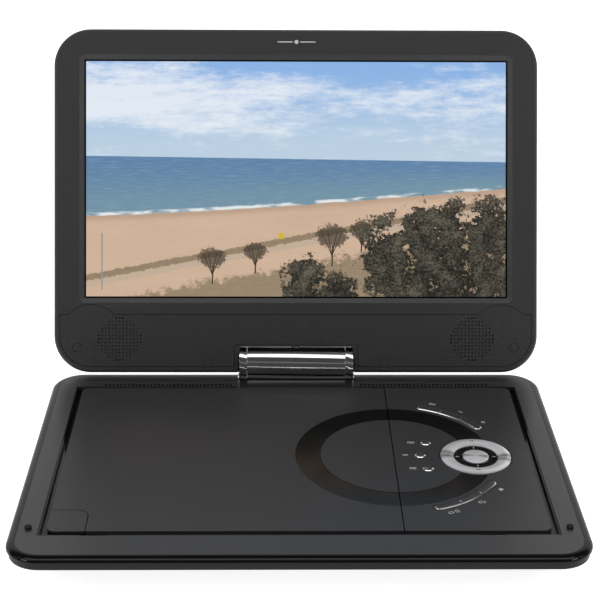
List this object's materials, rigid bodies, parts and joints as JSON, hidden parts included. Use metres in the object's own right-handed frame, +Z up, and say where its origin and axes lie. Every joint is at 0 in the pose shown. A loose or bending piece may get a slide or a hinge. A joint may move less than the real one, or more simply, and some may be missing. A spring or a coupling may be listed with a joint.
{
  "type": "portable dvd player",
  "caption": "Portable disc player: wide screen on a tilting, swivelling centre hinge over a flat base with a pop-up disc door and a round key panel.",
  "frame": {"origin": "on the table plane, under the middle of the open player's bounding box", "axes": "+X to the user's right, +Y from the front edge towards the hinge, +Z up"},
  "size_m": [0.257, 0.2508, 0.1963],
  "materials": {
    "charcoal_shell": "fine spark-eroded moulded plastic",
    "rim_plastic": "satin moulded plastic",
    "deck_plastic": "satin moulded plastic",
    "gloss_black": "polished black",
    "ring_gloss": "polished black inlay",
    "bezel_plastic": "fine grained plastic",
    "dimpled_plastic": "fine dimple grid",
    "inner_plastic": "plain moulded",
    "plated_steel": "zinc plated sheet",
    "bright_steel": "ground",
    "motor_can": "drawn can",
    "damper_rubber": "soft moulded",
    "foot_rubber": "matt moulded",
    "board": "solder resist",
    "cell_wrap": "shrink wrap",
    "socket_plastic": "plain moulded",
    "hinge_chrome": "polished",
    "screen_glass": "lit display under a clear front",
    "lens_glass": "coated",
    "gear_nylon": "plain moulded",
    "pad_silver": "spun, fine circular lines",
    "key_chrome": "bright plated"
  },
  "bodies": {
    "base": {"bottom_casing": "charcoal_shell", "top_casing": "rim_plastic", "edge_trim": "gloss_black", "deck_surround": "gloss_black", "control_panel": "deck_plastic", "panel_ring": "ring_gloss", "disc_bay": "inner_plastic", "loader_chassis": "plated_steel", "loader_dampers": "damper_rubber", "spindle_motor": "motor_can", "guide_rods": "bright_steel", "sled_motor": "motor_can", "main_board": "board", "key_board": "board", "battery_cells": "cell_wrap", "dc_jack": "socket_plastic", "jack_block": "socket_plastic", "usb_port": "motor_can", "card_slot": "motor_can", "rubber_feet": "foot_rubber", "lid_bumpers": "foot_rubber", "casing_screws": "plated_steel", "hinge_bracket": "plated_steel", "hinge_caps": "hinge_chrome", "open_spring": "bright_steel"},
    "hinge_arm": {"hinge_barrel": "hinge_chrome", "tilt_shaft": "bright_steel", "swivel_shaft": "bright_steel", "friction_washers": "bright_steel"},
    "screen": {"screen_bezel": "bezel_plastic", "speaker_panel": "dimpled_plastic", "lcd_frame": "plated_steel", "lcd_glass": "screen_glass", "screen_back_cover": "charcoal_shell", "screen_board": "board", "speakers": "motor_can", "screw_caps": "bezel_plastic", "screen_screws": "plated_steel", "swivel_bracket": "plated_steel"},
    "door": {"disc_door": "deck_plastic", "door_ring": "ring_gloss"},
    "release_tab": {"open_button": "deck_plastic"},
    "latch": {"door_latch": "inner_plastic"},
    "switch_slider": {"power_switch": "inner_plastic"},
    "spindle": {"spindle_hub": "inner_plastic"},
    "sled": {"pickup_sled": "inner_plastic", "pickup_lens": "lens_glass"},
    "feed_gear": {"sled_gear": "gear_nylon"},
    "pad_gimbal": {"dpad_pivot": "gloss_black"},
    "pad": {"dpad_ring": "pad_silver"},
    "ok_button_body": {"ok_button": "pad_silver"},
    "round_button_1_body": {"round_button_1": "key_chrome"},
    "round_button_2_body": {"round_button_2": "key_chrome"},
    "round_button_3_body": {"round_button_3": "key_chrome"},
    "arc_key_1_body": {"arc_key_1": "key_chrome"},
    "arc_key_2_body": {"arc_key_2": "key_chrome"},
    "arc_key_3_body": {"arc_key_3": "key_chrome"},
    "arc_key_4_body": {"arc_key_4": "key_chrome"},
    "arc_key_5_body": {"arc_key_5": "key_chrome"},
    "arc_key_6_body": {"arc_key_6": "key_chrome"}
  },
  "joints": [
    {"name": "screen_tilt", "type": "hinge", "parent": "base", "child": "hinge_arm", "pos_m": [0, 0.05086, 0.0314], "axis": [-1, 0, 0], "range_deg": [-113.1, 66.9]},
    {"name": "screen_swivel", "type": "hinge", "parent": "hinge_arm", "child": "screen", "pos_m": [0, 0.05086, 0.0314], "axis": [0, 0.3923, 0.9198], "range_deg": [-180, 0]},
    {"name": "door_hinge", "type": "hinge", "parent": "base", "child": "door", "pos_m": [0, 0.03156, 0.0204], "axis": [-1, 0, 0], "range_deg": [0, 65]},
    {"name": "tab_press", "type": "slide", "parent": "base", "child": "release_tab", "axis": [0, 0, 1], "range_m": [-0.0007, 0], "stiffness_N_per_m": 600, "deforming": ["open_spring"]},
    {"name": "latch_slide", "type": "slide", "parent": "base", "child": "latch", "axis": [1, 0, 0], "range_m": [-0.0014, 0]},
    {"name": "power_slide", "type": "slide", "parent": "base", "child": "switch_slider", "axis": [0, 1, 0], "range_m": [0, 0.004]},
    {"name": "spindle_spin", "type": "hinge", "parent": "base", "child": "spindle", "pos_m": [-0.033, -0.03294, 0.012], "axis": [0, 0, 1], "continuous": true},
    {"name": "sled_slide", "type": "slide", "parent": "base", "child": "sled", "axis": [0, -1, 0], "range_m": [0, 0.033]},
    {"name": "feed_turn", "type": "hinge", "parent": "base", "child": "feed_gear", "pos_m": [-0.004, -0.06494, 0.012], "axis": [0, 0, 1], "range_deg": [0, 320]},
    {"name": "pad_rock_x", "type": "hinge", "parent": "base", "child": "pad_gimbal", "pos_m": [0.0859, -0.03594, 0.022], "axis": [1, 0, 0], "range_deg": [-1.5, 1.5], "stiffness_Nm_per_rad": 0.8},
    {"name": "pad_rock_y", "type": "hinge", "parent": "pad_gimbal", "child": "pad", "pos_m": [0.0859, -0.03594, 0.022], "axis": [0, 1, 0], "range_deg": [-1.5, 1.5], "stiffness_Nm_per_rad": 0.8},
    {"name": "ok_button_press", "type": "slide", "parent": "base", "child": "ok_button_body", "axis": [0, 0, 1], "range_m": [-0.0005, 0], "stiffness_N_per_m": 400},
    {"name": "round_button_1_press", "type": "slide", "parent": "base", "child": "round_button_1_body", "axis": [0, 0, 1], "range_m": [-0.0005, 0], "stiffness_N_per_m": 400},
    {"name": "round_button_2_press", "type": "slide", "parent": "base", "child": "round_button_2_body", "axis": [0, 0, 1], "range_m": [-0.0005, 0], "stiffness_N_per_m": 400},
    {"name": "round_button_3_press", "type": "slide", "parent": "base", "child": "round_button_3_body", "axis": [0, 0, 1], "range_m": [-0.0005, 0], "stiffness_N_per_m": 400},
    {"name": "arc_key_1_press", "type": "slide", "parent": "base", "child": "arc_key_1_body", "axis": [0, 0, 1], "range_m": [-0.0005, 0], "stiffness_N_per_m": 400},
    {"name": "arc_key_2_press", "type": "slide", "parent": "base", "child": "arc_key_2_body", "axis": [0, 0, 1], "range_m": [-0.0005, 0], "stiffness_N_per_m": 400},
    {"name": "arc_key_3_press", "type": "slide", "parent": "base", "child": "arc_key_3_body", "axis": [0, 0, 1], "range_m": [-0.0005, 0], "stiffness_N_per_m": 400},
    {"name": "arc_key_4_press", "type": "slide", "parent": "base", "child": "arc_key_4_body", "axis": [0, 0, 1], "range_m": [-0.0005, 0], "stiffness_N_per_m": 400},
    {"name": "arc_key_5_press", "type": "slide", "parent": "base", "child": "arc_key_5_body", "axis": [0, 0, 1], "range_m": [-0.0005, 0], "stiffness_N_per_m": 400},
    {"name": "arc_key_6_press", "type": "slide", "parent": "base", "child": "arc_key_6_body", "axis": [0, 0, 1], "range_m": [-0.0005, 0], "stiffness_N_per_m": 400}
  ],
  "couplings": [
    {"joint": "latch_slide", "follows": "tab_press", "ratio": 2},
    {"joint": "feed_turn", "follows": "sled_slide", "rad_per_m": 166.67}
  ]
}
